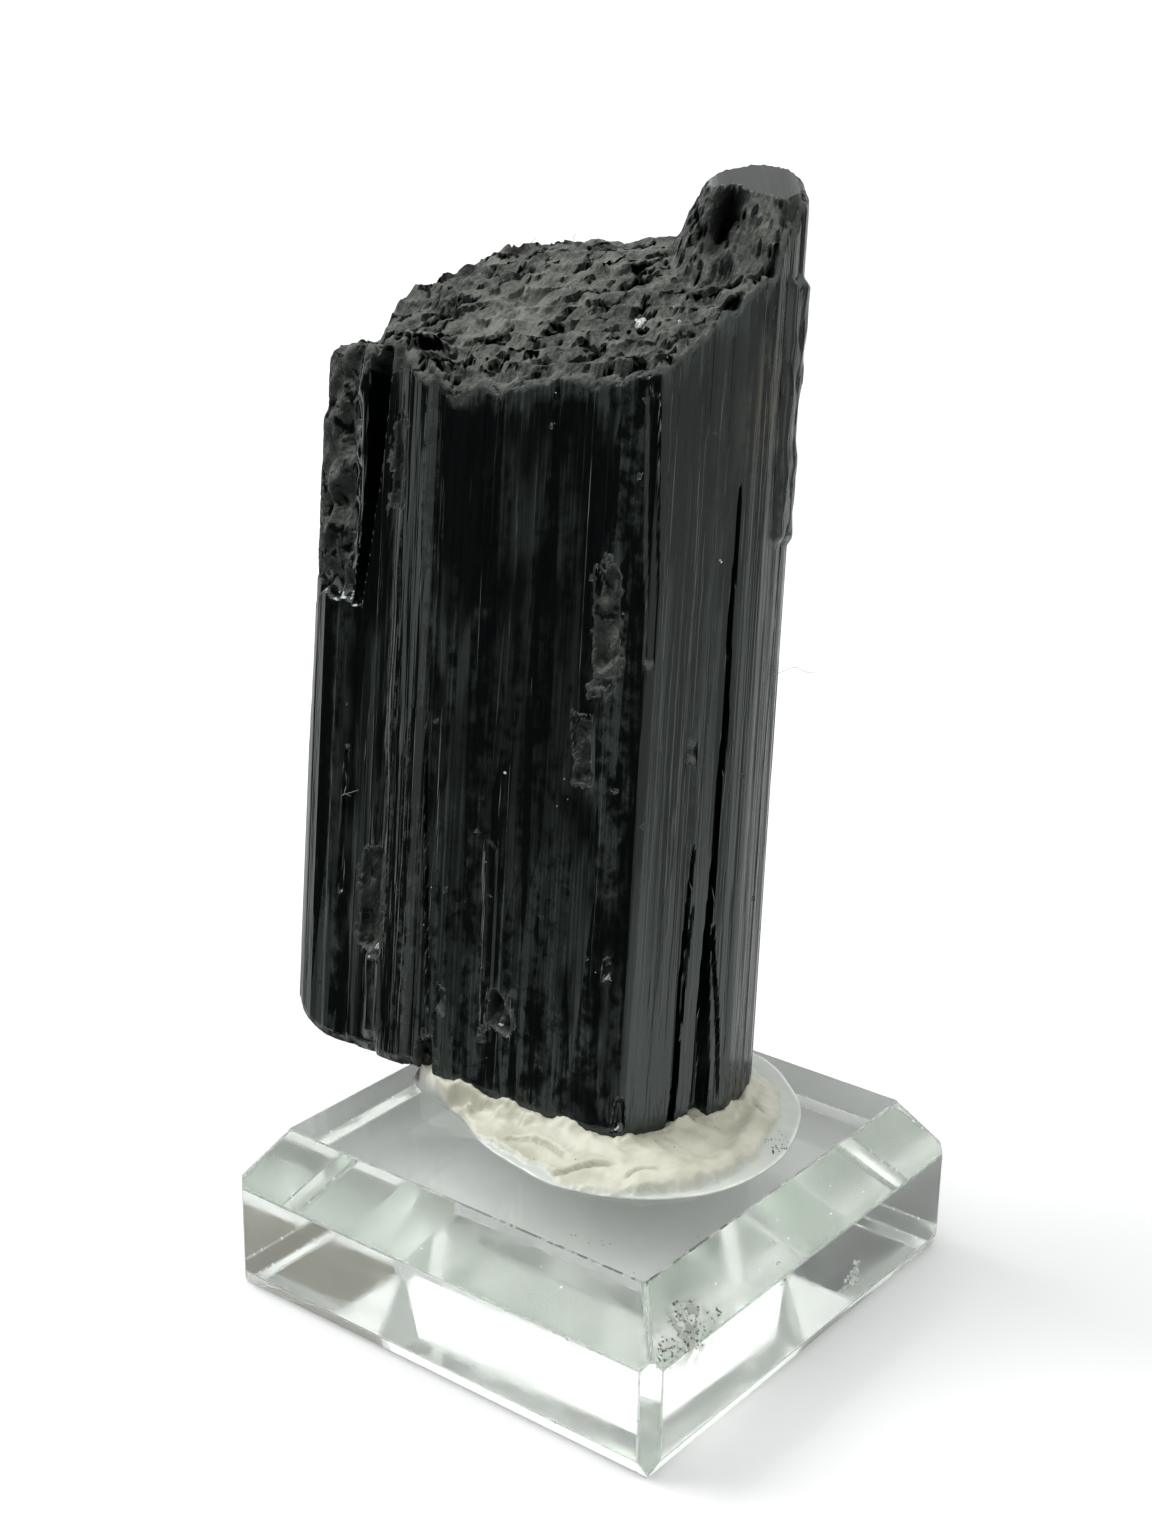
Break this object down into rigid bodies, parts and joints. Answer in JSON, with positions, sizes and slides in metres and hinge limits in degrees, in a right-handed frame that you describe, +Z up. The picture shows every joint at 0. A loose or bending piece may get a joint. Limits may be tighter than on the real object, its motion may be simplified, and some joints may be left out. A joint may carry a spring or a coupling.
{
  "type": "mineral specimen",
  "caption": "Black tourmaline crystal with striated sides and a broken sloping top, held upright by putty on a clear bevelled display block.",
  "frame": {"origin": "centre of the display block's underside", "axes": "+Z up, +X and +Y square to the block's sides; the crystal's front ridge faces between -X and -Y"},
  "size_m": [0.0434, 0.0484, 0.0787],
  "materials": {
    "black_tourmaline": "gloss",
    "cream_putty": "satin",
    "clear_block": "gloss"
  },
  "bodies": {
    "root": {"crystal": "black_tourmaline", "mounting_putty": "cream_putty", "display_base": "clear_block"}
  },
  "joints": []
}
